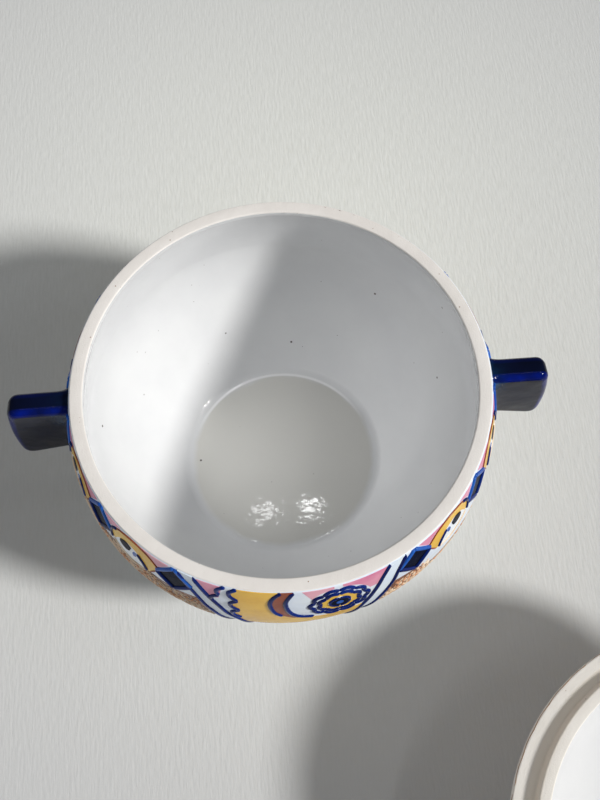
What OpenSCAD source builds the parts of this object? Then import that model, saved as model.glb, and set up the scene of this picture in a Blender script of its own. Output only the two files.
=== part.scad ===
// Lidded earthenware pot: a globular bowl with two slab lugs, a foot ring and a loose domed lid.
// The origin is the centre of the foot ring's resting plane, +Z is up, +X runs through the right lug
// and -Y is the front of the pot. The lid is drawn off the pot, lying upside down beside it.

/* [Pot] */
// Height of the rim above the table
pot_h = 118; // [110:1:126]
// Outer radius of the flat rim
rim_r = 95; // [90:1:97]
// Width of the flat, unglazed rim
rim_w = 6; // [5:0.5:7]
// Radius of the belly at its widest
belly_r = 100.5; // [99:0.1:103]
// Depth of the widest belly below the rim
belly_drop = 37; // [32:1:42]
// Thickness of the wall at the belly
wall_t = 6; // [5.5:0.5:7.5]
// Thickness of the floor above the foot ring's recess
floor_t = 6.5; // [6:0.5:8]
// Radius where the inside wall meets the floor
floor_r = 52; // [49:1:53]
// Size of the easing on the rim's two edges
rim_ease = 0.8; // [0.4:0.1:1.2]

/* [Foot] */
// Outer radius of the foot ring where it leaves the body
foot_r = 56; // [54:1:60]
// Height of the foot ring
foot_h = 4; // [3:0.5:5]
// Width of the foot ring
foot_w = 7; // [5:0.5:9]

/* [Lugs] */
// Thickness of a lug
lug_t = 11; // [10:0.5:12.5]
// Distance from the pot's axis to a lug's outer top corner
lug_reach = 123.5; // [118:0.5:126]
// How much further out the bottom corner is than the top one
lug_lean = 4; // [2:0.5:6]
// How far the outer end bulges between its two corners
lug_bulge = 2; // [1:0.5:3]
// Depth of a lug's top edge below the rim
lug_drop = 3.5; // [3:0.5:6]
// Height of a lug at its root, inside the wall
lug_h = 38; // [34:1:44]
// How far a lug's lower edge sinks from its root to its outer end
lug_sag = 12; // [8:0.5:14]
// Rounding of a lug's edges
lug_edge = 3.2; // [2.5:0.1:4.5]

/* [Lid] */
// Radius of the lid's edge
lid_r = 97; // [96:0.5:99]
// Thickness of the lid's edge
lid_edge = 4; // [3:0.5:5]
// Height of the dome above the seat
dome_h = 48; // [44:1:52]
// Thickness of the dome
dome_t = 7; // [6:0.5:8]
// Radial clearance of the flange in the pot's mouth
flange_gap = 1.5; // [1.4:0.1:2.2]
// Width of the flange's lower edge
flange_w = 5.5; // [5:0.5:6]
// Depth of the flange below the seat
flange_h = 4.6; // [4:0.1:5.5]
// How much narrower the flange is at its lower edge
flange_taper = 0.9; // [0.8:0.1:1.4]

/* [Knob] */
// Height of the knob above the dome's crown
knob_h = 24; // [20:1:26]
// Width of the knob's square top
knob_top = 42; // [38:1:46]
// Width of the knob's square neck
knob_neck = 27; // [24:1:30]
// Rounding of the knob's edges
knob_edge = 3; // [2:0.5:4]

/* [Coats] */
// Thickness of the white glaze inside
glaze_t = 0.5; // [0.4:0.1:0.8]
// Thickness of the painted coat outside
coat_t = 0.5; // [0.4:0.1:0.8]
// Depth of bare clay between the rim and the painted coat
bare_band = 1.5; // [1.2:0.1:2.5]
// Height of the painted coat's lower edge
coat_low = 22; // [18:1:28]

/* [Lid at rest] */
// Distance from the pot's axis to the lid's axis
lid_away = 276.5; // [265:0.5:300]
// Direction from the pot to the lid, measured from +X
lid_turn = -50; // [-60:1:-40]

/* [Hidden] */

turn_fn = 120;                        // fineness of every turned surface
wall_steps = 34;                      // profile steps down a pot wall
dome_steps = 20;                      // profile steps across the lid
outer_power = 1.8;                    // fullness of the lower curve outside
inner_power = 1.55;                   // fullness of the lower curve inside, where the wall thickens
shoulder_power = 1.86;                // fullness of the curve from belly to rim
inner_r = rim_r - rim_w;              // radius of the pot's mouth
floor_z = foot_h + floor_t;           // height of the inside floor
belly_z = pot_h - belly_drop;         // height of the widest belly
inner_belly_r = belly_r - wall_t;     // radius of the inside at the belly
bend_r = 3;                           // reach of the bend across the floor
bend_rise = 2;                        // height up the wall where the bend starts
bend_corner = 0.5;                    // how far outside floor_r the bend's control point lies
bend_steps = 6;                       // profile steps round the bend
foot_batter = 1;                      // how much each side of the foot ring leans in on its way down
foot_ease = 0.8;                      // bevel of the foot ring's two lower edges
lid_h = dome_h + knob_h;              // height of the lid, from its seat to the knob's top
flange_r = inner_r - flange_gap;      // radius of the flange at the seat
lid_ease = 1;                         // bevel of the lid's edge and of the flange
dome_r = lid_r - lid_ease;            // radius of the dome above the lid's edge
dome_rise = dome_h - lid_edge;        // rise of the dome above the lid's edge
cap_r = (pow(dome_r, 2) + pow(dome_rise, 2)) / (2 * dome_rise);  // radius of the dome's sphere
cap_z = dome_h - cap_r;               // height of the sphere's centre
coat_edge_r = dome_r - 2;             // radius of the lid coat's outer edge
hub_r = 24;                           // radius of the dome's crown left bare for the knob
lug_fn = 28;                          // fineness of the lugs' and the knob's rounded edges

// ---- profiles: lists of [radius, height] ----

// Lower half of a belly: radius at a depth below the widest place, closing to end_r at end_d
function bowl_r(widest, depth, end_r, end_d, power) =
    let (full = pow(depth / end_d, power))
    widest * sqrt(1 - full * (1 - pow(end_r / widest, 2)));

// Upper half of a belly: radius at a height above the widest place, closing to top_r at the rim
function shoulder_r(widest, rise, top_r) =
    widest - (widest - top_r) * pow(rise / belly_drop, shoulder_power);

function belly(z, widest, top_r, end_r, end_z, power) = z > belly_z
    ? shoulder_r(widest, z - belly_z, top_r)
    : bowl_r(widest, belly_z - z, end_r, belly_z - end_z, power);

// Heights of the outside profile's points, from just under the rim down to the foot ring
function outer_z(i) = let (top = pot_h - bare_band) top - (top - foot_h) * i / wall_steps;

function outer_point(i) = [belly(outer_z(i), belly_r, rim_r, foot_r, foot_h, outer_power), outer_z(i)];

outer_wall = [for (i = [0:wall_steps]) outer_point(i)];

// Inside wall from just under the mouth to a little above the floor
wall_end_z = floor_z + bend_rise;
function inner_z(i) = let (top = pot_h - rim_ease) top - (top - wall_end_z) * i / wall_steps;

function inner_point(z) = [belly(z, inner_belly_r, inner_r, floor_r, floor_z, inner_power), z];

// A quadratic bend that carries the wall over into the floor
function bend(a, b, c, n) = [for (i = [1:n]) let (t = i / n)
    a * pow(1 - t, 2) + b * 2 * t * (1 - t) + c * pow(t, 2)];

wall_end = inner_point(wall_end_z);
inner_wall = concat([for (i = [0:wall_steps]) inner_point(inner_z(i))],
    bend(wall_end, [floor_r + bend_corner, floor_z], [floor_r - bend_r, floor_z], bend_steps),
    [[0, floor_z]]);

// The point at a distance t to the left of a profile, as the profile is walked
function beside(points, i, t) =
    let (a = points[max(i - 1, 0)], b = points[min(i + 1, len(points) - 1)], d = (b - a) / norm(b - a))
    [max(0, points[i][0] - t * d[1]), points[i][1] + t * d[0]];

// A thin layer of thickness t lying along a profile
module skin(points, t) {
    far = [for (i = [len(points) - 1:-1:0]) beside(points, i, t)];
    rotate_extrude($fn = turn_fn) polygon(concat(points, far));
}

// ---- the pot ----

module pot_outside() {
    rotate_extrude($fn = turn_fn) polygon(concat([[0, pot_h], [rim_r - rim_ease, pot_h]], outer_wall,
        [[0, foot_h]]));
}

module pot_body() {
    foot_out = foot_r - foot_batter;
    foot_in = foot_r - foot_w;
    color("linen") rotate_extrude($fn = turn_fn) polygon(concat(
        [[rim_r - rim_ease, pot_h]], outer_wall,
        [[foot_out, foot_ease], [foot_out - foot_ease, 0], [foot_in + foot_ease, 0],
         [foot_in, foot_ease], [foot_in - foot_batter, foot_h], [0, foot_h]],
        [for (i = [len(inner_wall) - 1:-1:0]) inner_wall[i]],
        [[inner_r + rim_ease, pot_h]]));
}

// Rounded slab that stands out of the wall in the pot's X-Z plane
module lug_slab() {
    top_z = pot_h - lug_drop - lug_edge;
    low_z = pot_h - lug_drop - lug_h + lug_edge;
    root = 12;                        // how far the slab starts inside the rim's outer edge
    root_x = rim_r - root;
    end_x = lug_reach - lug_edge;
    side_y = lug_t / 2 - lug_edge;
    swell = 0.4;                      // the slab is a little thicker at its outer end
    corner = 4;                       // bevel that rounds the outer corners
    hull() for (side = [-1, 1]) {
        translate([root_x, side * side_y, top_z]) sphere(lug_edge, $fn = lug_fn);
        translate([root_x, side * side_y, low_z]) sphere(lug_edge, $fn = lug_fn);
        translate([end_x - corner, side * (side_y + swell), top_z]) sphere(lug_edge, $fn = lug_fn);
        translate([end_x, side * side_y, top_z - corner]) sphere(lug_edge, $fn = lug_fn);
        translate([end_x + lug_lean / 2 + lug_bulge, side * side_y, (top_z + low_z - lug_sag) / 2])
            sphere(lug_edge, $fn = lug_fn);
        translate([end_x + lug_lean, side * side_y, low_z - lug_sag + 2 * corner])
            sphere(lug_edge, $fn = lug_fn);
        translate([end_x + lug_lean - corner, side * side_y, low_z - lug_sag])
            sphere(lug_edge, $fn = lug_fn);
    }
}

module lug_handle(side) {
    color("navy") difference() {
        mirror([side < 0 ? 1 : 0, 0, 0]) lug_slab();
        pot_outside();
    }
}

module pot_inner_glaze() {
    color("white") skin(inner_wall, -glaze_t);
}

// The coat stops short of each lug, with a little clearance all round it
module pot_painted_coat() {
    painted = [for (p = outer_wall) if (p[1] > coat_low) p];
    clearance = 0.3;
    gap_h = lug_h + lug_sag / 2 + 2 * clearance;
    gap_x = 5 * wall_t;               // long enough to reach from inside the wall past the coat
    color("goldenrod") difference() {
        skin(painted, coat_t);
        for (side = [-1, 1]) translate([side * rim_r, 0, pot_h - lug_drop + clearance - gap_h / 2])
            cube([gap_x, lug_t + 2 * clearance, gap_h], center = true);
    }
}

// ---- the lid, drawn the right way up with its seat in the plane z = 0 ----

function cap_point(r, inset) = [r, cap_z + sqrt(pow(cap_r - inset, 2) - pow(r, 2))];

flange_low_r = flange_r - flange_taper;
flange_in_r = flange_low_r - flange_w;
hollow_r = flange_in_r + 3 * lid_ease; // radius where the flange's inside runs into the dome
dome_outside = [for (i = [0:dome_steps]) cap_point(dome_r * (1 - i / dome_steps), 0)];
dome_inside = concat([[flange_in_r, lid_ease - flange_h], [flange_in_r + lid_ease, -lid_ease]],
    [for (i = [0:dome_steps]) cap_point(hollow_r * (1 - i / dome_steps), dome_t)]);

module lid_profile() {
    polygon(concat(
        dome_inside,
        [for (i = [dome_steps:-1:0]) dome_outside[i]],
        [[lid_r, lid_edge - lid_ease], [lid_r, lid_ease], [lid_r - lid_ease, 0], [flange_r, 0],
         [flange_low_r, lid_ease - flange_h], [flange_low_r - lid_ease, -flange_h],
         [flange_in_r + lid_ease, -flange_h]]));
}

module dome_core() {
    rotate_extrude($fn = turn_fn) polygon(concat([[0, 0], [dome_r, 0]], dome_outside));
}

module lid_at_rest() {
    translate([lid_away * cos(lid_turn), lid_away * sin(lid_turn), lid_h])
        rotate([0, 0, lid_turn]) rotate([0, 180, 0]) rotate([0, 0, -lid_turn]) children();
}

module lid_shell() {
    color("linen") lid_at_rest() rotate_extrude($fn = turn_fn) lid_profile();
}

// Square block that flares from its neck to a flat top, cut to sit on the dome
module lid_knob() {
    sink = 6;                         // how far the block starts inside the dome before it is cut
    module square_of_balls(width, z) {
        for (x = [-1, 1], y = [-1, 1])
            translate([x * (width / 2 - knob_edge), y * (width / 2 - knob_edge), z])
                sphere(knob_edge, $fn = lug_fn);
    }
    color("navy") lid_at_rest() difference() {
        hull() {
            square_of_balls(knob_neck, dome_h - sink);
            square_of_balls(knob_top, lid_h - 3 * knob_edge);
            for (x = [-1, 1], y = [-1, 1])
                translate([x * (knob_top / 2 - knob_edge), y * (knob_top / 2 - knob_edge),
                    lid_h - knob_edge]) cylinder(r = knob_edge, h = knob_edge, $fn = lug_fn);
        }
        dome_core();
    }
}

module lid_inner_glaze() {
    lining = [for (i = [1:len(dome_inside) - 1]) dome_inside[i]];
    color("white") lid_at_rest() skin(lining, glaze_t);
}

module lid_painted_coat() {
    painted = [for (p = dome_outside) if (p[0] < coat_edge_r && p[0] > hub_r) p];
    color("goldenrod") lid_at_rest() skin(painted, -coat_t);
}

pot_body();
lug_handle(-1);  // lug_handle_left
lug_handle(1);  // lug_handle_right
pot_inner_glaze();
pot_painted_coat();
lid_shell();
lid_knob();
lid_inner_glaze();
lid_painted_coat();
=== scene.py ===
import math
import random

import bmesh
import bpy
import numpy as np
from mathutils import Matrix, Vector


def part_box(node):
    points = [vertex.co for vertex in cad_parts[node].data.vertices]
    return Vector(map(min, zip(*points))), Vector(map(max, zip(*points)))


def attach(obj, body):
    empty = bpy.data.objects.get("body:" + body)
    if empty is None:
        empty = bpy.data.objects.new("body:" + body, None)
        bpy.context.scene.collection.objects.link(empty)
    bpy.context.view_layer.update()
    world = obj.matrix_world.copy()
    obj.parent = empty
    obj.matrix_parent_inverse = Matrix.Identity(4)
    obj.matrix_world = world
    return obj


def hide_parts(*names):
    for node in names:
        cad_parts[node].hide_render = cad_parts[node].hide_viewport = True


# Looks of a lidded earthenware pot: bare clay, white glaze, cobalt lugs and raised, painted ornament.
# Metres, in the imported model's frame: +Z up, +X through the right lug, -Y the front, with the large panel.
# Ornament is laid out in (degrees to the right, millimetres down) from the middle of its own motif.

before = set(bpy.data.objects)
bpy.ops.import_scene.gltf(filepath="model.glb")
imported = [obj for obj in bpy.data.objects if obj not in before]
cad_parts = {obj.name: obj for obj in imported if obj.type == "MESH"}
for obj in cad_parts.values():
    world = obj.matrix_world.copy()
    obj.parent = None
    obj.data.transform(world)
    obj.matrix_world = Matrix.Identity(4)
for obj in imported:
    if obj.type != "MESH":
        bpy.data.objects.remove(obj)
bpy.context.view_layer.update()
dice = random.Random(11)

MM = 0.001

# ---- sizes that the frame doesn't say ----

GLAZE_T = 0.5 * MM          # white glaze over the clay
COAT_T = 0.45 * MM          # white ground of the painted coat
SINK = 0.3 * MM             # how far a layer reaches into what it lies on
FLANGE_H = 4.6 * MM         # height of the lid's flange
FLANGE_TAPER = 0.9 * MM     # how much narrower the flange is at its free edge
LID_TURN = -50              # direction from the pot to the lid, degrees
LUG_LEAN = 4 * MM           # how much further out a lug's bottom corner is than its top one
LUG_BULGE = 2 * MM          # how far a lug's outer end bulges between its two corners
LUG_SAG = 8.5 * MM          # how far a lug's lower edge sinks from the wall to its outer end
BARE_BAND = 1.5 * MM        # bare clay between the rim and the coat
LINE_W = 2.3                # width of a trailed line, mm
LINE_H = 0.85               # height of a trailed line, mm
LAYER = 0.12                # height of one coat of enamel over the last, mm
MM_PER_DEGREE = 1.72        # length of one degree round the belly
ROSETTE_AT = 10.6           # middle of the rosette, degrees to the right of its panel's middle
ROSETTE_DOWN = 17.0         # middle of the rosette, mm down the wall
LID_COAT_R = 26 * MM        # radius at which the dome's coat ends, round the knob
BACK_FALL = 3.4             # how much lower the ornament starts on the pot's back, mm
EDGE_ROUND = 0.9 * MM       # rounding of the clay's turned edges
COAT_EDGE = 1.2 * MM        # how far from its two edges a coat thins out
LUG_EDGE = 3.6 * MM         # rounding of a lug's edges
LUG_CROWN = 0.25 * MM       # how much thicker a lug is in the middle of its faces
RIM_R = 95 * MM             # the rim's outer radius, the unit of the camera's place
TURNED_SEGMENTS = 540       # faces round a turned solid
TILE_STEP = (2.5, 4 * MM)   # size of a tile's facets: degrees round, metres down

rim_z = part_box("pot_body")[1].z
floor_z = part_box("pot_inner_glaze")[0].z
lid_low, lid_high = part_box("lid_shell")
lid_axis = (lid_low + lid_high) / 2
seat_z = lid_high.z - FLANGE_H
crown_h = seat_z - lid_low.z
lid_h = seat_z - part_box("lid_knob")[0].z
LID = (Matrix.Translation((lid_axis.x, lid_axis.y, seat_z)) @ Matrix.Rotation(math.radians(LID_TURN), 4, "Z")
       @ Matrix.Rotation(math.pi, 4, "Y") @ Matrix.Rotation(math.radians(-LID_TURN), 4, "Z"))


# ---- lines and turned surfaces ----

def through(points, per_span=8):
    """A smooth line through the points."""
    p = np.array(points, float)
    p = np.vstack([2 * p[0] - p[1], p, 2 * p[-1] - p[-2]])
    t = np.linspace(0, 1, per_span, endpoint=False)[:, None]
    spans = [0.5 * (2 * b + (c - a) * t + (2 * a - 5 * b + 4 * c - d) * t ** 2
                    + (3 * b - a - 3 * c + d) * t ** 3)
             for a, b, c, d in zip(p, p[1:], p[2:], p[3:])]
    return np.vstack(spans + [p[-2:-1]])


def ring_through(points, per_span=6):
    """A smooth closed line through the points."""
    p = [tuple(q) for q in points]
    return through(p[-2:] + p + p[:2], per_span)[2 * per_span:-2 * per_span][:-1]


def bend(start, corner, end, t):
    """The point at t on a curve from start to end that is drawn towards a corner."""
    return start * (1 - t) ** 2 + corner * 2 * t * (1 - t) + end * t ** 2


def cad_line(node, side, to_local=Matrix.Identity(4), above=-math.inf):
    """Corners (radius, height) of a turned CAD node where it faces out from (1) or towards (-1) its axis."""
    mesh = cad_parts[node].data
    turn = to_local.to_3x3()
    found = set()
    for polygon in mesh.polygons:
        centre, normal = to_local @ polygon.center, turn @ polygon.normal
        reach = math.hypot(centre.x, centre.y)
        faces_that_way = side * (normal.x * centre.x + normal.y * centre.y) >= 0.02 * reach
        if not faces_that_way:
            continue
        for v in polygon.vertices:
            p = to_local @ mesh.vertices[v].co
            if p.z > above:
                found.add((math.hypot(p.x, p.y), p.z))
    line = []
    for p in sorted(found, key=lambda q: -q[1]):
        if not line or math.dist(p, line[-1]) > 0.4 * MM:
            line.append(p)
    return line


def hand(turn, z):
    """How far the wall wanders off its circle: the small unevenness of a hand-turned pot."""
    oval = 0.28 * np.sin(2 * turn + 0.7)
    twist = 0.12 * np.sin(3 * turn + 20 * z)
    ripple = 0.05 * np.sin(7 * turn + 3)
    return (oval + twist + ripple) * MM


class Turned:
    """A turned surface, given by its line from one edge onwards. Lift is measured off it, to one side."""

    def __init__(self, points, away):
        self.line = through(points)
        steps = np.linalg.norm(np.diff(self.line, axis=0), axis=1)
        self.walk = np.concatenate([[0], np.cumsum(steps)])
        along = np.gradient(self.line, self.walk, axis=0)
        along /= np.linalg.norm(along, axis=1)[:, None]
        self.away = away * np.stack([-along[:, 1], along[:, 0]], 1)

    def radius(self, walk):
        return np.interp(walk, self.walk, self.line[:, 0])

    def offset(self, lift):
        return self.line + self.away * lift

    def place(self, degrees, walk, lift):
        r = self.radius(walk) + lift * np.interp(walk, self.walk, self.away[:, 0])
        z = np.interp(walk, self.walk, self.line[:, 1]) + lift * np.interp(walk, self.walk, self.away[:, 1])
        a = np.radians(degrees)
        r = r + hand(a, z)
        return np.stack([r * np.cos(a), r * np.sin(a), z + 0 * a], -1)


# ---- meshes ----

class Batch:
    """Closed shells gathered into one mesh."""

    def __init__(self):
        self.verts, self.faces = [], []

    def add(self, verts, faces):
        start = len(self.verts)
        self.verts.extend(tuple(v) for v in verts)
        self.faces.extend(tuple(i + start for i in f) for f in faces)


def piece(name, batch, material, body, place=None, sharp=50):
    mesh = bpy.data.meshes.new(name)
    mesh.from_pydata(batch.verts, [], batch.faces)
    bm = bmesh.new()
    bm.from_mesh(mesh)
    bmesh.ops.recalc_face_normals(bm, faces=bm.faces[:])
    bm.to_mesh(mesh)
    bm.free()
    mesh.polygons.foreach_set("use_smooth", [True] * len(mesh.polygons))
    mesh.set_sharp_from_angle(angle=math.radians(sharp))
    if place:
        mesh.transform(place)
    obj = bpy.data.objects.new(name, mesh)
    bpy.context.scene.collection.objects.link(obj)
    mesh.materials.append(material)
    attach(obj, body)
    return obj


def rows_of_quads(rows, n):
    """Faces between rows of n vertices, each row closed on itself."""
    return [(i * n + k, i * n + (k + 1) % n, (i + 1) * n + (k + 1) % n, (i + 1) * n + k)
            for i in range(rows - 1) for k in range(n)]


def end_caps(rows, n):
    """The two faces that close a tube of rows of n vertices."""
    return [tuple(range(n)), tuple(range((rows - 1) * n, rows * n))]


def revolve(line):
    """A closed turned solid from a line of (radius, height) between two poles, or closed on itself."""
    line = np.array(line)
    on_axis = 1e-6
    segments = TURNED_SEGMENTS
    poles = line[0][0] < on_axis
    a = np.arange(segments) / segments * 2 * math.pi
    batch = Batch()
    verts, rows = [], []
    for r, z in line:
        if r < on_axis:
            rows.append([len(verts)] * segments)
            verts.append((0, 0, z))
            continue
        rows.append(list(range(len(verts), len(verts) + segments)))
        around = r + hand(a, z)
        verts.extend(zip(around * np.cos(a), around * np.sin(a), np.full(segments, z)))
    if not poles:
        rows.append(rows[0])
    faces = []
    for low, high in zip(rows, rows[1:]):
        for i in range(segments):
            j = (i + 1) % segments
            face = [low[i], low[j], high[j], high[i]]
            faces.append(tuple(dict.fromkeys(face)))
    batch.add(verts, faces)
    return batch


def bead(surface, path, width, height, lift=0.0):
    """A half-round bead along a path of (degrees, metres) points. Returns vertices and faces."""
    path = np.array(path, float)
    r = surface.radius(path[:, 1])
    go = np.stack([r * np.gradient(np.radians(path[:, 0])), np.gradient(path[:, 1])], 1)
    length = np.maximum(np.linalg.norm(go, axis=1), 1e-9)
    walk = np.concatenate([[0], np.cumsum((length[1:] + length[:-1]) / 2)])
    go /= length[:, None]
    end = np.clip(np.minimum(walk, walk[-1] - walk) / (width / 2), 0.02, 1)
    swell = np.sqrt(1 - (1 - end) ** 2)
    turn = np.radians(np.linspace(0, 180, 7))
    across = np.concatenate([np.cos(turn), [-1, 1]]) * width / 2
    up = np.concatenate([np.sin(turn) * height, [-SINK, -SINK]])
    verts = []
    for (degrees, down), radius, (gx, gy), s in zip(path, r, go, swell):
        side = across * s
        verts.extend(surface.place(degrees - np.degrees(side * gy / radius), down + side * gx,
                                   np.where(up > 0, up * s, up) + lift))
    n, rows = len(across), len(path)
    return verts, rows_of_quads(rows, n) + end_caps(rows, n)


def tile(surface, outline, low, high):
    """A closed flat tile over an outline of (degrees, metres) points, bent onto the surface."""
    bm = bmesh.new()
    bmesh.ops.triangulate(bm, faces=[bm.faces.new([bm.verts.new((a, d, 0)) for a, d in outline])])
    points = np.array(outline)
    for axis in (0, 1):
        step = TILE_STEP[axis]
        first, last = points[:, axis].min() / step, points[:, axis].max() / step
        for k in range(math.ceil(first + 0.05), math.floor(last - 0.05) + 1):
            cut = Vector((0, 0, 0))
            cut[axis] = k * step
            way = Vector((1 - axis, axis, 0))
            bmesh.ops.bisect_plane(bm, geom=bm.verts[:] + bm.edges[:] + bm.faces[:], plane_co=cut,
                                   plane_no=way, dist=1e-7)
    bm.verts.index_update()
    flat = np.array([v.co[:2] for v in bm.verts])
    n = len(flat)
    faces = [tuple(v.index for v in f.verts) for f in bm.faces]
    faces += [tuple(v.index + n for v in reversed(f.verts)) for f in bm.faces]
    for e in bm.edges:
        if e.is_boundary:
            loop = e.link_loops[0]
            i, j = loop.vert.index, loop.link_loop_next.vert.index
            faces.append((j, i, i + n, j + n))
    bm.free()
    verts = [surface.place(flat[:, 0], flat[:, 1], lift) for lift in (high, low)]
    return np.vstack(verts), faces


def coat_outline(surface, last):
    """The closed section of a coat on a surface, from its first edge to last, thinner at both edges."""
    keep = surface.walk < last
    to_edge = np.minimum(surface.walk[keep], last - surface.walk[keep])
    taper = np.sqrt(np.clip(to_edge / COAT_EDGE, 0.03, 1))[:, None]
    lit = surface.line[keep] + surface.away[keep] * COAT_T * taper
    back = surface.line[keep] - surface.away[keep] * SINK
    return [*lit, *back[::-1]]


class Painter:
    """Lays enamels and trailed lines on a turned surface. Colours gather in batches."""

    def __init__(self, surface, back_fall=0):
        self.surface, self.back_fall = surface, back_fall
        self.colours = {}

    def lowered(self, degrees, down):
        """A distance down the wall, longer on the back, where the ornament starts lower below the rim."""
        behind = np.clip((math.sin(math.radians(degrees)) + 0.12) / 0.3, 0, 1)
        return (down + self.back_fall * behind * max(0, 1 - down / 60)) * MM

    def at(self, middle, points, flip=1):
        return [(middle + flip * a, self.lowered(middle + flip * a, d)) for a, d in points]

    def batch(self, colour):
        return self.colours.setdefault(colour, Batch())

    def fill(self, colour, middle, outline, layer=1, flip=1):
        high = COAT_T + layer * LAYER * MM
        self.batch(colour).add(*tile(self.surface, self.at(middle, outline, flip), COAT_T - SINK, high))

    def trail(self, middle, *strokes, width=LINE_W, height=LINE_H, colour="cobalt", flip=1, per_span=8):
        for stroke in strokes:
            path = self.at(middle, through(stroke, per_span), flip)
            self.batch(colour).add(*bead(self.surface, path, width * MM, height * MM, COAT_T))

    def make_pieces(self, body, place=None):
        for colour, batch in self.colours.items():
            name = "cobalt_lines" if colour == "cobalt" else f"{colour}_enamel"
            piece(f"{body}_{name}", batch, PAINTS[colour], body, place)


# ---- materials ----

def linear(*srgb):
    """A linear colour from sRGB values of 0 to 255."""
    shares = [v / 255 for v in srgb]
    return tuple(c / 12.92 if c <= 0.04045 else ((c + 0.055) / 1.055) ** 2.4 for c in shares) + (1,)


class Nodes:
    """Short words for building a node material."""

    def __init__(self, name):
        self.material = bpy.data.materials.new(name)
        self.material.use_nodes = True
        self.tree = self.material.node_tree
        self.shader = self.tree.nodes["Principled BSDF"]
        coords = self.tree.nodes.new("ShaderNodeTexCoord")
        self.here = coords.outputs["Object"]

    def link(self, source, target):
        self.tree.links.new(source, target)

    def noise(self, scale, detail=3, rough=0.5, stretch=None):
        n = self.tree.nodes.new("ShaderNodeTexNoise")
        n.inputs["Scale"].default_value = scale
        n.inputs["Detail"].default_value = detail
        n.inputs["Roughness"].default_value = rough
        self.link(self.stretched(stretch), n.inputs["Vector"])
        return n.outputs["Fac"]

    def stretched(self, stretch):
        if not stretch:
            return self.here
        m = self.tree.nodes.new("ShaderNodeMapping")
        m.inputs["Scale"].default_value = stretch
        self.link(self.here, m.inputs["Vector"])
        return m.outputs["Vector"]

    def ramp(self, value, *stops):
        """A ramp through (position, colour) stops."""
        r = self.tree.nodes.new("ShaderNodeValToRGB")
        elements = r.color_ramp.elements
        while len(elements) < len(stops):
            elements.new(0.5)
        for element, (position, colour) in zip(elements, stops):
            element.position = position
            element.color = colour
        self.link(value, r.inputs["Fac"])
        return r.outputs["Color"]

    def mask(self, value, low, high):
        """0 below low, 1 above high."""
        m = self.tree.nodes.new("ShaderNodeMapRange")
        m.inputs["From Min"].default_value = low
        m.inputs["From Max"].default_value = high
        self.link(value, m.inputs["Value"])
        return m.outputs["Result"]

    def distance(self, x, y):
        """Distance from an upright axis."""
        v = self.tree.nodes.new("ShaderNodeVectorMath")
        v.operation = "DISTANCE"
        self.link(self.stretched((1, 1, 0)), v.inputs[0])
        v.inputs[1].default_value = (x, y, 0)
        return v.outputs["Value"]

    def distance_to_ring(self, x, y, radius):
        return self.math("ABSOLUTE", self.math("SUBTRACT", self.distance(x, y), radius), 0)

    def math(self, how, a, b):
        m = self.tree.nodes.new("ShaderNodeMath")
        m.operation = how
        for socket, value in zip(m.inputs, (a, b)):
            if isinstance(value, (int, float)):
                socket.default_value = value
            else:
                self.link(value, socket)
        return m.outputs["Value"]

    def mix(self, factor, a, b):
        m = self.tree.nodes.new("ShaderNodeMix")
        m.data_type = "RGBA"
        self.link(factor, m.inputs["Factor"])
        for socket, value in (("A", a), ("B", b)):
            target = [i for i in m.inputs if i.name == socket and i.type == "RGBA"][0]
            if isinstance(value, tuple):
                target.default_value = value
            else:
                self.link(value, target)
        return [o for o in m.outputs if o.type == "RGBA"][0]

    def spots(self, scale, size, share):
        """Sparse round spots: 1 in a spot, 0 elsewhere."""
        v = self.tree.nodes.new("ShaderNodeTexVoronoi")
        v.inputs["Scale"].default_value = scale
        self.link(self.here, v.inputs["Vector"])
        near = self.mask(v.outputs["Distance"], size, size * 0.5)
        pick = self.tree.nodes.new("ShaderNodeSeparateColor")
        self.link(v.outputs["Color"], pick.inputs["Color"])
        return self.math("MULTIPLY", near, self.math("LESS_THAN", pick.outputs["Red"], share))

    def relief(self, *layers):
        """Bump layers of (height socket, distance in mm), one over the other."""
        last = None
        for height, distance in layers:
            b = self.tree.nodes.new("ShaderNodeBump")
            b.inputs["Strength"].default_value = 1
            b.inputs["Distance"].default_value = distance * MM
            self.link(height, b.inputs["Height"])
            if last:
                self.link(last, b.inputs["Normal"])
            last = b.outputs["Normal"]
        self.link(last, self.shader.inputs["Normal"])

    def colour(self, source):
        self.link(source, self.shader.inputs["Base Color"])

    def gloss(self, low, high, ior=1.5):
        """Roughness that wanders between two values."""
        self.link(self.math("MULTIPLY_ADD", self.noise(60), high - low), self.shader.inputs["Roughness"])
        self.tree.nodes[-1].inputs[2].default_value = low
        self.shader.inputs["IOR"].default_value = ior

    def attribute(self, name):
        """A value painted on the mesh's points."""
        a = self.tree.nodes.new("ShaderNodeAttribute")
        a.attribute_name = name
        return a.outputs["Fac"]


def clay(name, tone, deep, painted_shade_ring=None):
    """Unglazed fired clay: matt, finely grained, with faint stains and iron specks, and, if given, a warm tan
    ring of painted shade where a flange's shadow falls.
    """
    n = Nodes(name)
    body = n.ramp(n.noise(45, 6, 0.6), (0.3, linear(*deep)), (0.7, linear(*tone)))
    stains_and_shade = n.mix(n.mask(n.noise(14, 3), 0.52, 0.75), body, linear(*deep))
    # the warm tan ring is painted shade: the warm shadow that a flange casts on the seat round its foot
    if painted_shade_ring:
        x, y, radius = painted_shade_ring
        near = n.distance_to_ring(x, y, radius)
        stains_and_shade = n.mix(n.mask(near, 3.6 * MM, 2.2 * MM), stains_and_shade, linear(249, 240, 226))
    n.colour(n.mix(n.spots(420, 0.16, 0.10), stains_and_shade, linear(150, 118, 92)))
    n.gloss(0.75, 0.95)
    n.relief((n.noise(1500, 2), 0.12), (n.noise(160, 4), 0.25))
    return n.material


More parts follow.
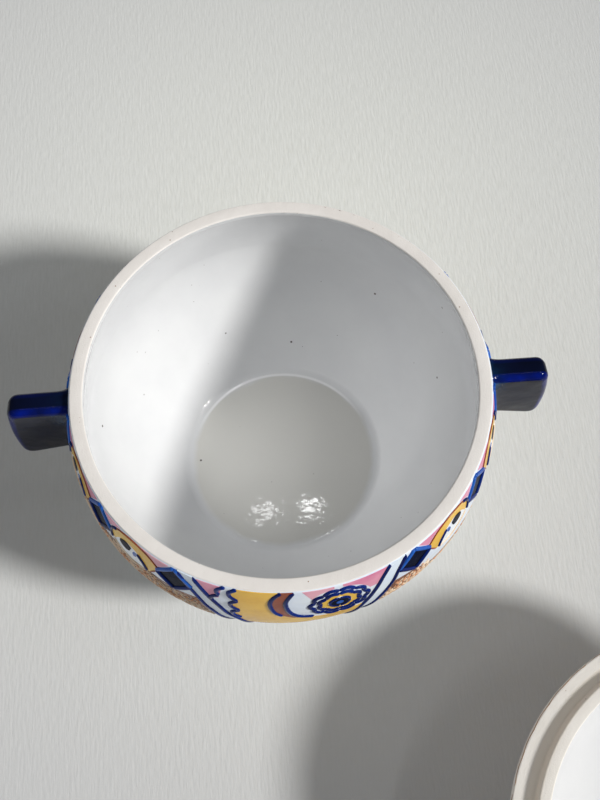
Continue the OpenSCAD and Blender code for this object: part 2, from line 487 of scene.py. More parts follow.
def glaze(name, tone, deep, warm, warm_r):
    """White glaze: glossy, softly uneven, with pinholes, warmer where it pooled on the pot's floor, and a
    painted highlight along the far side of the floor's edge.
    """
    n = Nodes(name)
    body = n.ramp(n.noise(22, 5, 0.55), (0.3, linear(*deep)), (0.68, linear(*tone)))
    edge = n.math("ADD", n.distance(0, 0), n.math("MULTIPLY", n.noise(60, 3), 5 * MM))
    body = n.mix(n.mask(edge, warm_r + 1.5 * MM, warm_r - 1.5 * MM), body, linear(*warm))
    # a painted highlight: a thin pale line where the floor meets the wall, on the far side only
    highlight_ring = n.mask(n.distance_to_ring(0, 0, warm_r - 2 * MM), 1.1 * MM, 0.2 * MM)
    far = n.mask(n.distance(0, 120 * MM), 112 * MM, 92 * MM)
    body = n.mix(n.math("MULTIPLY", highlight_ring, far), body, linear(250, 250, 251))
    body = n.mix(n.spots(110, 0.085, 0.16), body, linear(70, 62, 58))
    body = n.mix(n.spots(260, 0.075, 0.10), body, linear(120, 112, 108))
    n.colour(body)
    n.gloss(0.015, 0.05)
    n.relief((n.noise(30, 2, 0.4), 0.15), (n.noise(190, 3, 0.5), 0.05))
    return n.material


def enamel(name, tone, deep, shade=None, wave=0.12, ior=1.35):
    """Painted enamel: glossy, with brush-wide changes of tone."""
    n = Nodes(name)
    body = n.ramp(n.noise(55, 4, 0.6), (0.32, linear(*deep)), (0.66, linear(*tone)))
    if shade:
        body = n.mix(n.mask(n.noise(26, 2), 0.5, 0.72), body, linear(*shade))
    n.colour(n.mix(n.spots(520, 0.12, 0.06), body, linear(*(v // 2 for v in deep))))
    n.gloss(0.18, 0.32, ior=ior)
    n.relief((n.noise(210, 3), wave), (n.noise(48, 2), wave * 2))
    return n.material


def cobalt(name, dark, blue, thin, ior, wave=0.5, pool=None):
    """Deep cobalt glaze: near black where thick, blue where it thins on an edge, paler where it pools."""
    n = Nodes(name)
    body = n.ramp(n.noise(40, 4, 0.6), (0.35, linear(*dark)), (0.7, linear(*blue)))
    worn = n.math("MULTIPLY", n.attribute("thin"), n.mask(n.noise(90, 3), 0.2, 0.65))
    body = n.mix(worn, body, linear(*thin))
    if pool:
        streak = n.mask(n.noise(120, 3, stretch=(1, 1, 0.35)), 0.3, 0.62)
        body = n.mix(n.math("MULTIPLY", n.attribute("pool"), streak), body, linear(*pool))
    n.colour(body)
    n.gloss(0.04, 0.1, ior=ior)
    n.relief((n.noise(60, 2), wave), (n.noise(260, 2), wave * 0.12))
    return n.material


CLAY = clay("cream_clay", (246, 242, 238), (238, 233, 228))
LID_SHADE_RING_R = 88.6 * MM    # radius of the ring of painted warm shade between the lid's seat and its flange
LID_CLAY = clay("lid_clay", (246, 242, 236), (238, 233, 225), painted_shade_ring=(lid_axis.x, lid_axis.y, LID_SHADE_RING_R))
GLAZE = glaze("white_glaze", (227, 228, 229), (219, 220, 222), (214, 213, 208), 51.5 * MM)
GROUND = enamel("white_ground", (240, 248, 255), (228, 239, 255), wave=0.2)
COBALT = cobalt("cobalt_glaze", (6, 11, 30), (9, 16, 44), (4, 26, 128), 1.22, pool=(50, 140, 215))
LINES = cobalt("cobalt_slip", (8, 24, 86), (14, 46, 126), (20, 60, 190), 1.24, wave=0.2)
PAINTS = {
    "cobalt": LINES,
    "ochre": enamel("ochre_enamel", (248, 202, 84), (234, 182, 68), shade=(242, 204, 102)),
    "yellow": enamel("yellow_enamel", (244, 202, 88), (234, 184, 74), shade=(236, 190, 76)),
    "pink": enamel("pink_enamel", (236, 164, 188), (222, 130, 166), shade=(238, 184, 196)),
    "brown": enamel("brown_enamel", (158, 80, 48), (134, 62, 38)),
    "terracotta": enamel("terracotta_slip", (150, 98, 70), (112, 70, 52), wave=0.3),
    "cream": enamel("cream_slip", (242, 226, 204), (228, 200, 168), wave=0.3),
    "peach": enamel("peach_slip", (230, 178, 138), (212, 152, 114), wave=0.3),
    "lavender": enamel("lavender_enamel", (238, 248, 255), (224, 237, 255)),
    "white": enamel("white_enamel", (245, 251, 255), (236, 244, 255)),
    "navy": enamel("navy_enamel", (12, 22, 50), (6, 10, 28), ior=1.08),
    "azure": enamel("azure_enamel", (40, 108, 200), (16, 64, 158)),
    "crumb": enamel("brown_crumbs", (140, 104, 80), (92, 68, 56)),
    "tan": enamel("tan_stain", (196, 164, 132), (168, 132, 102)),
}


# ---- the ornament ----

BORDER_LEFT_OUT = [(-31.5, 0.4), (-26.5, 15), (-23.5, 27), (-21.5, 34), (-18, 52), (-15, 72), (-13.5, 88)]
BORDER_LEFT_IN = [(-27, 0.4), (-22.5, 14), (-20, 22), (-18, 30), (-15, 38), (-12.5, 54), (-10, 72),
                  (-8.5, 88)]
BORDER_RIGHT_IN = [(24.7, 0.4), (22.5, 8), (21, 15), (19, 24), (17, 33), (13.5, 52), (10.5, 72), (8.5, 88)]
BORDER_RIGHT_OUT = [(29.5, 0.4), (27, 10), (25.5, 18), (23.5, 26), (21.5, 34), (18, 52), (15, 72), (13.5, 88)]
BAND_LEFT = [(-4.3, 0.4), (-6, 4.5), (-6.9, 9), (-6.9, 14), (-5.9, 21), (-4, 26)]
BAND_RIGHT = [(-1.2, 0.4), (-3, 9), (-2.8, 17), (-1.5, 24), (0.5, 28), (4, 30.5)]
LOW_SCALLOP = [[(-11.7, 58), (-8, 61), (-4, 58)], [(-4, 58), (0.5, 62), (5, 58)],
               [(5, 58), (9.5, 61), (12.7, 57)]]
LOW_WAVE = [(-10.8, 64), (0.5, 68), (11.8, 64)]
LOW_LINE = [(-9.8, 72), (0.5, 77), (10.6, 72)]

STIPPLE_DROP = 14           # how much lower the stippled ground starts on a panel's right, mm
STIPPLE_ROWS = 26
STIPPLE_END = 88.6          # degrees from the panel's middle, at the lug
STIPPLE_SHARE = 0.86        # share of the places that get a dash


def lobes(*strokes):
    """One line from strokes that meet in cusps."""
    return np.vstack([through(s, 5) for s in strokes])


def scallops(start, end, count, depth):
    """Strokes of equal lobes along a straight line, bulging to the left."""
    corners = np.linspace(start, end, count + 1)
    return [[tuple(a + (b - a) * t - (depth * math.sin(math.pi * t), 0)) for t in (0, 1 / 3, 2 / 3, 1)]
            for a, b in zip(corners, corners[1:])]


def rosette_ring(reach, count=8, depth=0.0):
    """Strokes of a ring of equal lobes, reach in mm, round the middle of the panel's rosette."""
    strokes = []
    for k in range(count):
        stroke = []
        for t in (0, 0.25, 0.5, 0.75, 1):
            turn = 2 * math.pi * (k + t) / count
            r = reach * (1 - depth * (1 - math.sin(math.pi * t)))
            across, down = r * math.sin(turn) / MM_PER_DEGREE, r * math.cos(turn)
            stroke.append((ROSETTE_AT + across, ROSETTE_DOWN + down))
        strokes.append(stroke)
    return strokes


def rosette(fill, trail):
    """A plain round flower: two rings of lobes round a dark eye."""
    petals = rosette_ring(9.6, depth=0.16)
    fill("yellow", lobes(*petals)[:-1], 1)
    for colour, reach, layer in (("white", 5.2, 3), ("navy", 3.9, 4), ("azure", 1.6, 5)):
        fill(colour, lobes(*rosette_ring(reach))[:-1], layer)
    trail(*petals, *rosette_ring(13.2, count=10, depth=0.13))
    trail(*rosette_ring(4.5, count=4), width=1.6)


def panel(painter, middle):
    """The large panel: a scalloped field, a curved band, a rosette and slanting borders."""
    def fill(colour, outline, layer=1):
        painter.fill(colour, middle, outline, layer)

    def trail(*strokes, **more):
        painter.trail(middle, *strokes, **more)

    comb = scallops((-18.5, 0.4), (-21.4, 17.5), 2, 1.3)
    scallop = scallops((-15.5, 0.4), (-14.3, 33), 3, 2.2)

    for inside, outside in ((BORDER_LEFT_IN, BORDER_LEFT_OUT), (BORDER_RIGHT_IN, BORDER_RIGHT_OUT)):
        fill("lavender", [*through(outside), *through(inside)[::-1]])
    right_of_field = [(15.6, 40), (17.1, 33.2), (16.4, 31), (11, 32.4), (7, 33), (2, 31.5), (-2, 28.5)]
    fill("ochre", [*lobes(*scallop), (-15, 38), (-13.3, 47), *lobes(*LOW_SCALLOP), *right_of_field,
                   *through(BAND_LEFT)[::-1]])
    fill("brown", [*through(BAND_LEFT), (-1.5, 29.6), (3, 32.2), *through(BAND_RIGHT)[::-1]], 2)
    fill("pink", [(-25.9, 0.8), (-19.2, 0.8), (-20.6, 6), (-20, 12), (-21.6, 13.6)])
    round_rosette = lobes(*rosette_ring(14.6, count=24))
    above_left = [q for q in round_rosette if q[0] < 9.4 and q[1] < 9]
    above_right = [q for q in round_rosette if q[0] > 11.6 and q[1] < 13]
    fill("pink", [(1.2, 0.8), (9.4, 0.8), *above_left])
    fill("pink", [(24.1, 0.8), (11.6, 0.8), *above_right[::-1], (20.9, 12.6), (22.1, 7)])
    # on the lower half, which the photo doesn't show: brown waves and a closing band
    wave = through(LOW_WAVE, 6)
    fill("brown", [*lobes(*LOW_SCALLOP), (12.3, 61), *wave[::-1], (-11.3, 61)], 2)
    fill("yellow", [*wave, (9.6, 78), (8.6, 87), (-8.6, 87), (-9.5, 78)])

    trail(BORDER_LEFT_IN, BORDER_LEFT_OUT, BORDER_RIGHT_IN, BORDER_RIGHT_OUT)
    trail(*comb, *scallop, BAND_LEFT, BAND_RIGHT)
    trail(*LOW_SCALLOP, LOW_WAVE, LOW_LINE)
    rosette(fill, trail)


def diamond(painter, middle, half=5.2, top=0.6, waist=11, foot=21.5):
    """A dark lozenge in a thick, bright outline."""
    corners = [(0, top), (half, waist), (0, foot), (-half, waist)]
    painter.fill("navy", middle, corners, 1)
    for i, colour in enumerate(("azure", "cobalt", "cobalt", "azure")):
        painter.trail(middle, [corners[i], corners[(i + 1) % 4]], height=1.0, colour=colour, per_span=16)


def eye(painter, middle, flip):
    """An arch like an eye: an ochre crescent round a dark pupil, with pink in the corners above it."""
    def fill(colour, outline, layer=1):
        painter.fill(colour, middle, outline, layer, flip)

    arch = through([(-5.4, 20.5), (-8, 12), (-7.9, 8.8), (-5, 3.6), (-1, 1.2), (3, 1.7), (5.6, 3.4), (8, 9),
                    (7.4, 15.5)])
    lid = through([(-4.7, 20.3), (-3.6, 15), (-1.6, 10), (2, 7.4), (5, 10.4), (6.4, 15)])
    fill("yellow", [*arch, *lid[::-1]])
    fill("white", [*lid, (5.4, 19.5), (0.5, 22), (-3.4, 21.2)])
    fill("navy", ring_through([(0.6, 10), (2.3, 7.6), (4.4, 9.6), (4.2, 13), (2.3, 14.8), (0.9, 13)]), 3)
    fill("azure", ring_through([(-1.4, 11.4), (-0.5, 11), (0.1, 13), (-0.4, 15.6), (-1.3, 14)], 4), 2)
    fill("pink", [(-11.2, 0.9), (-2.6, 0.9), (-5.6, 3), (-8.3, 7.6)])
    fill("pink", [(4.8, 0.9), (11.2, 0.9), (8.6, 6.6), (6.4, 2.8)])
    painter.trail(middle, arch[:56:6], width=1.0, height=0.5, colour="brown", flip=flip, per_span=3)
    painter.trail(middle, [(5.8, 3.6), (7.6, 7), (8, 11), (7.4, 16)], [(-4.7, 20.3), (-3.6, 15), (-1.6, 10)],
                  width=1.7, flip=flip)
    painter.trail(middle, [(-4.9, 20.8), (0.5, 23), (7.2, 17)],
                  width=1.2, height=0.6, colour="cream", flip=flip)


def side_of_panel(painter, panel_at, flip):
    """Lozenges and eyes from a panel's border to the lug, and the stippled ground below them."""
    drop = STIPPLE_DROP if flip > 0 else 0
    top = [(26, 21), (32, 22.8), (39, 20.5 + drop), (52, 20.5 + drop), (58, 22.8 + drop), (65, 20.5 + drop),
           (78, 20.5 + drop), (84, 22.8 + drop), (89.6, 22 + drop)]
    ground = [(88, 62), (70, 61.4), (50, 61.4), (30, 61.4), (17.2, 60), (19.5, 44), (22, 34)]
    painter.fill("terracotta", panel_at, top + [(89.6, 62)] + ground, 0.6, flip)
    for centre in (32.2, 58, 84):
        diamond(painter, panel_at + flip * centre)
    for centre in (45, 71):
        eye(painter, panel_at + flip * centre, flip)
    for row in range(STIPPLE_ROWS):
        down = 22.5 + row * 1.5
        inner = np.interp(down, [20, 34, 62], [25.5, 23.5, 19])
        degrees = inner + dice.uniform(0, 2)
        while degrees < STIPPLE_END:
            below_motifs = down > 24.5 + drop * (degrees > 37)
            between_lozenges = not drop and abs((degrees - 32) % 26 - 13) < 8
            if (below_motifs or between_lozenges) and dice.random() < STIPPLE_SHARE:
                stipple(painter, panel_at, degrees, down, flip)
            degrees += dice.uniform(1.2, 1.9)


def stipple(painter, panel_at, degrees, down, flip):
    """One short, tilted dash of slip."""
    tilt, length = dice.uniform(-0.9, 0.2), dice.uniform(0.7, 1.5)
    path = [(degrees - length / 2, down - tilt * length), (degrees, down + dice.uniform(-0.15, 0.15)),
            (degrees + length / 2, down + tilt * length)]
    colour = "cream" if dice.random() < 0.7 else "peach"
    painter.trail(panel_at, path, width=dice.uniform(0.5, 0.85), height=0.45, colour=colour, flip=flip,
                  per_span=2)


def foot_bands(painter, last):
    """Rings below the motifs, broken by the panels."""
    reach, motifs = 145, 9      # degrees between the panels, lozenges in the band
    for start in (-reach / 2, 180 - reach / 2):
        across = [start + reach * i / 48 for i in range(49)]
        band = [(a, 64) for a in across] + [(a, 73) for a in across[::-1]]
        painter.fill("yellow", 0, band, 0.8)
        for down in (63, 74, last - 1):
            painter.trail(0, [(a, down) for a in across[::4]], width=2.2)
        for i in range(motifs):
            mid = start + reach * (i + 0.5) / motifs
            painter.fill("navy", mid, [(0, 65.6), (2.6, 68.5), (0, 71.4), (-2.6, 68.5)], 1.6)


# ---- the pot ----

coat_line = [p for p in cad_line("pot_body", 1) if p[1] < rim_z - BARE_BAND * 0.5 and p[1] > 3.5 * MM]
outside = Turned([(coat_line[0][0] - 0.3 * MM, rim_z - 0.45 * MM)] + coat_line, 1)
clay_inside = [p for p in cad_line("pot_body", -1, above=floor_z - 0.1 * MM) if p[1] < rim_z - 0.4 * MM]
inside = Turned(clay_inside + [(clay_inside[-1][0] - 4 * MM, floor_z), (20 * MM, floor_z), (0, floor_z)], -1)
outer_r, inner_r = outside.line[0][0], inside.line[0][0]


def rounded(points, radius, steps=5):
    """The line with its inner corners rounded."""
    out = [points[0]]
    for a, b, c in zip(points, points[1:], points[2:]):
        a, b, c = (np.array(p, float) for p in (a, b, c))
        cut = min(radius, np.linalg.norm(a - b) / 2, np.linalg.norm(c - b) / 2)
        out += [tuple(q) for q in round_corner(a, b, c, cut, steps)]
    return out + [points[-1]]


def round_corner(before, corner, after, cut, steps):
    """Points of the curve that cuts a corner off, from cut before it to cut after it."""
    start = corner + (before - corner) / np.linalg.norm(before - corner) * cut
    end = corner + (after - corner) / np.linalg.norm(after - corner) * cut
    return [bend(start, corner, end, t) for t in np.linspace(0, 1, steps)]


def pot_meshes():
    foot_r, foot_h = outside.line[-1]
    foot = rounded([(foot_r, foot_h), (foot_r - 1 * MM, 0.0), (foot_r - 7 * MM, 0.0),
                    (foot_r - 8 * MM, foot_h), (0, foot_h)], EDGE_ROUND)
    rim = rounded([tuple(inside.line[2]), (inner_r, rim_z), (outer_r, rim_z), tuple(outside.line[2])],
                  EDGE_ROUND)
    line = [*inside.line[::-1][:-3], *rim, *outside.line[3:-1], *foot]
    body = piece("pot_clay_body", revolve(line), CLAY, "pot")
    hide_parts("pot_body")

    taper = np.clip(inside.walk / (2 * MM), 0.1, 1)[:, None]
    lit, back = inside.line + inside.away * GLAZE_T * taper, inside.offset(-SINK)
    lit[-1], back[-1] = (0, floor_z + GLAZE_T), (0, floor_z - SINK)
    lit[:, 0], back[:, 0] = np.maximum(lit[:, 0], 0), np.maximum(back[:, 0], 0)
    lining = piece("pot_white_glaze", revolve([*lit[::-1], *back]), GLAZE, "pot")
    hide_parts("pot_inner_glaze")


def rim_crumbs():
    """Brown crumbs of glaze that caught on the rim's outer edge."""
    edge = Turned([(outer_r - 2 * MM, rim_z), (outer_r - 0.9 * MM, rim_z - 0.02 * MM),
                   (outer_r - 0.25 * MM, rim_z - 0.3 * MM), (outer_r + 0.05 * MM, rim_z - 1.2 * MM),
                   (outer_r + 0.3 * MM, rim_z - 3 * MM)], 1)
    height = 0.1 * MM           # low enough for the lid's seat
    batch = Batch()
    for low, high, count in ((60, 112, 26), (-10, 58, 18), (118, 190, 14), (195, 345, 6)):
        for _ in range(count):
            at, down, length = dice.uniform(low, high), dice.uniform(1.5, 2.3) * MM, dice.uniform(0.15, 0.8)
            path = [(at - length, down), (at, down + dice.uniform(-0.15, 0.15) * MM), (at + length, down)]
            batch.add(*bead(edge, through(path, 3), dice.uniform(0.3, 0.6) * MM, height))
    # hairlines along the far left of the rim
    for first, last in ((103, 119), (121, 135), (137, 152)):
        path = [(a, 1.75 * MM + dice.uniform(-0.08, 0.08) * MM) for a in np.linspace(first, last, 7)]
        batch.add(*bead(edge, through(path, 3), 0.36 * MM, height))
    piece("pot_rim_crumbs", batch, PAINTS["crumb"], "pot")


def pot_ornament():
    low_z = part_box("pot_painted_coat")[0].z
    last = float(np.interp(-low_z, -outside.line[:, 1], outside.walk))
    ground = piece("pot_white_ground", revolve(coat_outline(outside, last)), GROUND, "pot")
    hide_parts("pot_painted_coat")

    painter = Painter(outside, back_fall=BACK_FALL)
    for middle in (-90, 90):
        panel(painter, middle)
        for flip in (-1, 1):
            side_of_panel(painter, middle, flip)
    foot_bands(painter, last / MM)
    painter.make_pieces("pot")


# ---- lugs ----

def pot_radius(z):
    """The outside's radius at a height."""
    return float(np.interp(-z, -outside.line[:, 1], outside.line[:, 0]))


def straight(start, end, steps):
    return [start + (end - start) * t for t in np.linspace(0, 1, steps)]


def lug_outline(reach, top, bottom):
    """A lug's outline as (distance from the axis, height), from its top root outwards and round."""
    sunk = 4.6 * MM             # how far the root lies inside the wall
    bulging = 16 * MM           # how far from its outer end a lug starts to bulge
    root = [np.array((pot_radius(z) - sunk, z)) for z in np.linspace(bottom, top, 14)]
    top_corner, low_corner = np.array((reach - LUG_LEAN, top)), np.array((reach, bottom - LUG_SAG))
    upper = round_corner(root[-1], top_corner, low_corner, 5 * MM, 14)
    lower = round_corner(top_corner, low_corner, root[0], 9 * MM, 14)
    ring = np.array(straight(root[-1], upper[0], 24)[:-1] + upper + straight(upper[-1], lower[0], 24)[1:-1]
                    + lower + straight(lower[-1], root[0], 24)[1:-1] + root[:-1])
    outer = np.clip((ring[:, 0] - reach + bulging) / bulging, 0, 1)
    down = np.clip((top - ring[:, 1]) / (top - bottom + LUG_SAG), 0, 1)
    ring[:, 0] += LUG_BULGE * outer * np.sin(math.pi * down)
    return ring


def lug_loops(ring, half):
    """Loops (outline, distance from the middle plane) over the edge to a face's middle, and their wear."""
    go = np.roll(ring, -1, 0) - np.roll(ring, 1, 0)
    inward = np.stack([go[:, 1], -go[:, 0]], 1) / np.linalg.norm(go, axis=1)[:, None]
    centre = ring.mean(0)
    steps = 9
    loops, thin = [], []
    for turn in np.radians(np.linspace(0, 90, steps)):
        inset = LUG_EDGE * (1 - math.cos(turn))
        loops.append((ring + inward * inset, half - LUG_EDGE + LUG_EDGE * math.sin(turn)))
        thin.append(math.sin(2 * turn) ** 0.6 if turn else 0)
    flat = loops[-1][0]
    for k in range(1, steps):
        outline = centre + (flat - centre) * (1 - k / steps) ** 0.8
        loops.append((outline, half + LUG_CROWN * math.sin(k / steps * math.pi / 2)))
        thin.append(0)
    return loops, thin


def lug(name, side, fall):
    """A solid slab, lofted from the middle of its front face over the rounded edge to its back face."""
    low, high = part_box(name)
    reach = max(abs(low.x), abs(high.x)) + fall / 3
    half = (high.y - low.y) / 2
    top, bottom = high.z, low.z + LUG_SAG - fall
    ring = lug_outline(reach, top, bottom)
    n, centre = len(ring), ring.mean(0)
    loops, thin = lug_loops(ring, half)
    whole = [(points, -y) for points, y in loops[::-1]] + loops
    wear = thin[::-1] + [0.25 * t for t in thin]
    verts, marks, pools = [], [], []
    for (points, y), mark in zip(whole, wear):
        back = max(y / half, 0) ** 1.5
        for x, z in points:
            # the clay is smeared onto the wall at the root, and the outer end is cut back behind
            off = max(x - pot_radius(z), 0)
            flare = math.exp(-off / (1.8 * MM))
            rise = (z - (top + bottom) / 2) / (top - bottom) * 2.4 * MM
            bow = 0.3 * MM * math.sin((x - 0.09) * 90)
            out = min(max((x - reach + 10 * MM) / (10 * MM), 0), 1)
            cut_back = 3.2 * MM * out ** 2 * back
            verts.append((side * (x - cut_back), y * (1 + 0.22 * flare), z + rise * flare + bow))
            marks.append(mark)
            # glaze pools against the wall, high on the front face
            low_down = min(max((top - z) / (16 * MM), 0), 1)
            share = 1 if y < -0.6 * half and top - z > 2.5 * MM else 0.1
            pools.append(math.exp(-off / (3 * MM)) * (1 - low_down) * share)
    front, behind = len(verts), len(verts) + 1
    verts += [(side * centre[0], y, centre[1]) for y in (-half - LUG_CROWN, half + LUG_CROWN)]
    marks += [0, 0]
    pools += [0, 0]
    last = (len(whole) - 1) * n
    faces = rows_of_quads(len(whole), n)
    faces += [(front, (k + 1) % n, k) for k in range(n)]
    faces += [(behind, last + k, last + (k + 1) % n) for k in range(n)]
    batch = Batch()
    batch.add(verts, faces)
    obj = piece(name.replace("handle", "glazed"), batch, COBALT, "pot", sharp=80)
    for key, values in (("thin", marks), ("pool", pools)):
        obj.data.attributes.new(key, "FLOAT", "POINT").data.foreach_set("value", values)
    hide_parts(name)


# ---- the lid ----

def lid_meshes():
    home = LID.inverted()
    dome = [p for p in cad_line("lid_shell", 1, home) if p[1] > 3.6 * MM]
    hollow = sorted((p for p in cad_line("lid_shell", -1, home) if p[1] > MM), key=lambda p: -p[0])
    dome_line = Turned(sorted(dome, key=lambda p: -p[0])[:-1] + [(0, crown_h)], -1)
    hollow_line = Turned([*hollow[:-1], (0, hollow[-1][1] + 0.02 * MM)], 1)
    edge_r = max(p[0] for p in cad_line("lid_shell", 1, home))
    low_r = dome_line.line[0][0]
    flange_tip = max(p[0] for p in cad_line("lid_shell", 1, home) if p[1] < -0.5 * MM)
    flange_in = min(p[0] for p in cad_line("lid_shell", -1, home) if p[1] < -0.5 * MM)
    edge = rounded([tuple(dome_line.line[1]), (low_r, 4 * MM), (edge_r, 4 * MM), (edge_r, 0),
                    (flange_tip + FLANGE_TAPER, 0), (flange_tip, -FLANGE_H), (flange_in, -FLANGE_H),
                    (flange_in + 0.7 * MM, -MM), tuple(hollow_line.line[1])], EDGE_ROUND)
    line = [*dome_line.line[::-1][:-2], *edge, *hollow_line.line[2:]]
    line[0] = (0, crown_h)
    shell = piece("lid_clay_shell", revolve(line), LID_CLAY, "lid", LID)
    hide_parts("lid_shell")

    lid_edge_stain(edge_r)

    lit, back = hollow_line.offset(GLAZE_T), hollow_line.offset(-SINK)
    lit[-1], back[-1] = (0, lit[-1][1]), (0, back[-1][1])
    lining = piece("lid_white_glaze", revolve([*np.maximum(lit[::-1], [0, -1]), *np.maximum(back, [0, -1])]),
                   GLAZE, "lid", LID)
    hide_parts("lid_inner_glaze")

    last = float(np.interp(-LID_COAT_R, -dome_line.line[:, 0], dome_line.walk))
    coat = revolve(coat_outline(dome_line, last))
    ground = piece("lid_white_ground", coat, GROUND, "lid", LID)
    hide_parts("lid_painted_coat")
    painter = Painter(dome_line)
    lid_ornament(painter, last / MM)
    painter.make_pieces("lid", LID)


def lid_edge_stain(edge_r):
    """A tan line of body stain round the lid's edge, just off its seat."""
    side = Turned([(edge_r - 1.6 * MM, 0), (edge_r - 0.7 * MM, 0.05 * MM), (edge_r - 0.1 * MM, 0.5 * MM),
                   (edge_r, 1.4 * MM), (edge_r, 3 * MM)], -1)
    stain = Batch()
    for start in range(0, 360, 40):
        path = [(start + 40 * i / 20, (1.5 + 0.25 * math.sin(i * 1.7 + start)) * MM) for i in range(21)]
        stain.add(*bead(side, path, 0.5 * MM, 0.14 * MM))
    piece("lid_edge_stain", stain, PAINTS["tan"], "lid", LID)


def lid_ornament(painter, last):
    """A ring of lozenges and eyes round the dome's edge, and rings up to the knob."""
    full = [360 * i / 120 for i in range(121)]
    painter.trail(0, [(a, 1.2) for a in full[::4]], width=2, colour="tan", height=0.6)
    petal = ring_through([(-7.4, 9), (-3.5, 3.6), (3.5, 3.6), (7.4, 9), (5.5, 17), (0, 20.5), (-5.5, 17)])
    pupil = ring_through([(-2.4, 11), (0, 7.6), (2.4, 11), (1.8, 15), (0, 16.6), (-1.8, 15)])
    for middle in range(0, 360, 30):
        diamond(painter, middle, half=4.6, top=2.4, waist=12, foot=21)
        eye_at = middle + 15
        painter.fill("yellow", eye_at, petal)
        painter.fill("navy", eye_at, pupil, 2)
        painter.trail(eye_at, [(-7.4, 9), (-3.5, 3.8), (0, 3), (3.5, 3.8), (7.4, 9)], width=1.6)
    for start in (0, 120, 240):
        across = [start + 120 * i / 40 for i in range(41)]
        painter.fill("ochre", 0, [(a, 25) for a in across] + [(a, 40) for a in across[::-1]], 0.8)
        for down in (24, 41, last - 1.2):
            painter.trail(0, [(a, down) for a in across[::4]], width=2)
    for i in range(18):
        painter.trail(i * 20, [(-6, 38), (-3, 29), (0, 38)], [(0, 38), (3, 34), (8, 30)], width=1.6)


def knob():
    """A square block that flares to a flat top."""
    # (half-width in mm, height) from inside the dome to the flat top
    stations = [(14.6, crown_h - 4 * MM), (13.9, crown_h + 1 * MM), (14.2, crown_h + 5 * MM),
                (17.4, crown_h + 11 * MM), (20.4, lid_h - 6 * MM), (21, lid_h - 2.6 * MM),
                (20.4, lid_h - 1 * MM), (19, lid_h - 0.25 * MM), (17, lid_h)]
    rows = through([(w * MM, z) for w, z in stations], 6)
    n = 96                      # points round each row
    power = 5.5                 # how square a row is: 2 is a circle
    verts, marks = [], []
    for w, z in rows:
        for k in range(n):
            t = 2 * math.pi * k / n
            c, s = math.cos(t), math.sin(t)
            r = w / (abs(c) ** power + abs(s) ** power) ** (1 / power)
            verts.append((r * c, r * s, min(z, lid_h)))
            corner = max(0, 1 - abs(abs(c) - abs(s)) * 3)
            marks.append(min(1, corner * 0.8 + max(0, 1 - abs(z - (lid_h - 1.2 * MM)) / (2 * MM))))
    batch = Batch()
    batch.add(verts, rows_of_quads(len(rows), n) + end_caps(len(rows), n))
    obj = piece("lid_knob_glazed", batch, COBALT, "lid", LID, sharp=80)
    obj.data.attributes.new("thin", "FLOAT", "POINT").data.foreach_set("value", marks)
    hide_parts("lid_knob")


pot_meshes()
rim_crumbs()
pot_ornament()
lug("lug_handle_left", -1, 2.2 * MM)
lug("lug_handle_right", 1, -2.2 * MM)
lid_meshes()
knob()


# ---- floor, light and camera ----

def floor():
    n = Nodes("paper_floor")
    grain = n.noise(700, 3, stretch=(1, 0.16, 1))
    paper = n.ramp(grain, (0.3, linear(233, 235, 230)), (0.7, linear(241, 243, 239)))
    # a painted pool of light: the paper is lighter round a point behind the pot and darker further off
    n.colour(n.mix(n.mask(n.distance(0.03, 0.13), 0.05, 0.36), paper, linear(208, 209, 210)))
    n.gloss(0.85, 0.95)
    n.relief((grain, 0.2), (n.noise(260, 2), 0.12))
    mesh = bpy.data.meshes.new("floor")
    half = 3.0
    corners = [(-half, -half, 0), (half, -half, 0), (half, half, 0), (-half, half, 0)]
    mesh.from_pydata(corners, [], [(0, 1, 2, 3)])
    mesh.materials.append(n.material)
    obj = bpy.data.objects.new("floor", mesh)
    bpy.context.scene.collection.objects.link(obj)


def lamp(name, kind, energy, direction, aim=(0, 0, 0), **settings):
    """A lamp that shines on a point from (azimuth in degrees, elevation in degrees, distance in metres)."""
    azimuth, elevation, distance = direction
    a, e = math.radians(azimuth), math.radians(elevation)
    way = Vector((math.cos(e) * math.cos(a), math.cos(e) * math.sin(a), math.sin(e)))
    data = bpy.data.lights.new(name, kind)
    data.energy = energy
    for key, value in settings.items():
        setattr(data, key, value)
    obj = bpy.data.objects.new(name, data)
    obj.location = Vector(aim) + way * distance
    obj.rotation_euler = way.to_track_quat("Z", "Y").to_euler()
    bpy.context.scene.collection.objects.link(obj)
    return obj


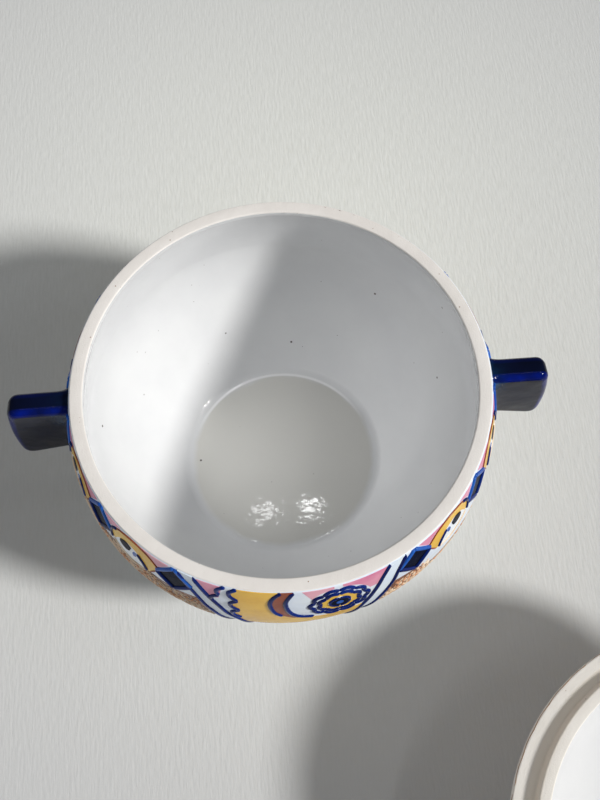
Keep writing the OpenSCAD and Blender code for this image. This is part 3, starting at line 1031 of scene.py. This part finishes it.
def camera():
    data = bpy.data.cameras.new("camera")
    data.lens, data.sensor_width = 45, 36
    obj = bpy.data.objects.new("camera", data)
    # fitted to the rim's ellipses: the place is in rim radii from the rim's middle
    place = Vector((0, 0, rim_z)) + RIM_R * Vector((-0.0736, -1.845, 4.381))
    heading, tilt, roll = (Matrix.Rotation(math.radians(degrees), 4, axis)
                           for degrees, axis in ((-5.14, "Z"), (21.80, "X"), (0.59, "Z")))
    obj.matrix_world = Matrix.Translation(place) @ (heading @ tilt @ roll)
    bpy.context.scene.collection.objects.link(obj)
    bpy.context.scene.camera = obj


def light():
    world = bpy.data.worlds.new("world")
    bpy.context.scene.world = world
    world.use_nodes = True
    background = world.node_tree.nodes["Background"]
    background.inputs["Color"].default_value = (0.95, 0.98, 1.0, 1)
    background.inputs["Strength"].default_value = 0.11
    lamp("key", "SUN", 3.05, (-22.5, 36, 2), angle=math.radians(9), color=(1, 0.985, 0.96))
    lamp("sky_strip", "AREA", 0.8, (-12, 55, 1.3), shape="RECTANGLE", size=0.4, size_y=0.025,
         color=(0.98, 0.99, 1))
    for direction, energy, wide in (((-118, 27, 1.2), 1.0, 0.5), ((172, 36, 1.5), 1.5, 0.8)):
        fill = lamp("fill", "AREA", energy, direction, size=wide)
        fill.visible_glossy = False
    # the light that the sunlit wall throws back, which no lamp outside the pot can give
    glow = lamp("glow", "AREA", 0.0125, (180, 25, 0.083), (0, 0, 0.035), size=0.04, spread=math.radians(95))
    glow.visible_camera = glow.visible_glossy = False
    # (azimuth, elevation, energy, width, depth) of what the glaze reflects
    windows = ((95.1, 76, 0.02, 0.036, 0.016), (79.7, 75.8, 0.042, 0.038, 0.018), (84, 45, 0.05, 0.045, 0.03),
               (97, 45, 0.05, 0.045, 0.03), (205, 43, 0.12, 0.12, 0.05))
    for azimuth, elevation, energy, wide, deep in windows:
        lamp("window", "AREA", energy, (azimuth, elevation, 1.2), shape="RECTANGLE", size=wide, size_y=deep)
    lamp("overhead", "AREA", 0.45, (90, 87, 1.2), shape="RECTANGLE", size=1.0, size_y=0.02)
    bpy.context.scene.view_settings.view_transform = "Standard"


floor()
light()
camera()
